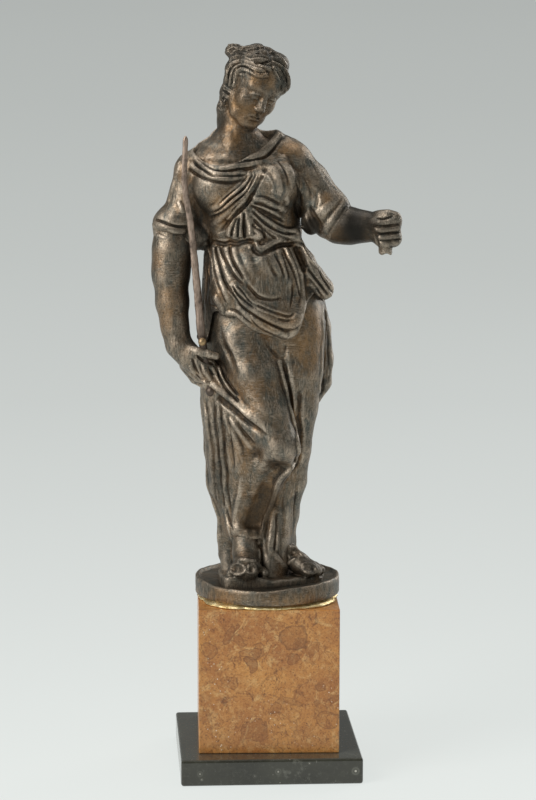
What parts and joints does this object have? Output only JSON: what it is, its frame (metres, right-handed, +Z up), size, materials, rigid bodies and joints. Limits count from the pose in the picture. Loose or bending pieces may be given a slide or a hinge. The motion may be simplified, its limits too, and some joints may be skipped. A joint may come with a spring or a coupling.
{
  "type": "justice statue",
  "caption": "Small bronze figure of Justice, draped and bareheaded, with a bent sword, standing on a marble block over a dark stone slab.",
  "frame": {"origin": "centre of the stone slab's underside, which rests on the table", "axes": "+Z up through the plinth and the figure, -Y towards the viewer that the figure faces, +X to that viewer's right"},
  "size_m": [0.0852, 0.062, 0.2492],
  "materials": {
    "dark_bronze": "cast bronze with a dark brown patina, rubbed warmer on the crests",
    "pale_bronze": "cast bronze with a thinner, paler patina",
    "gilding": "worn gilding",
    "brown_marble": "polished breccia marble, ochre with brown patches and pale veins",
    "dark_stone": "dark grey-green stone, polished on top, with small pale specks"
  },
  "bodies": {
    "root": {"figure": "dark_bronze", "sword": "pale_bronze", "gilt_ring": "gilding", "marble_block": "brown_marble", "slab": "dark_stone"}
  },
  "joints": []
}
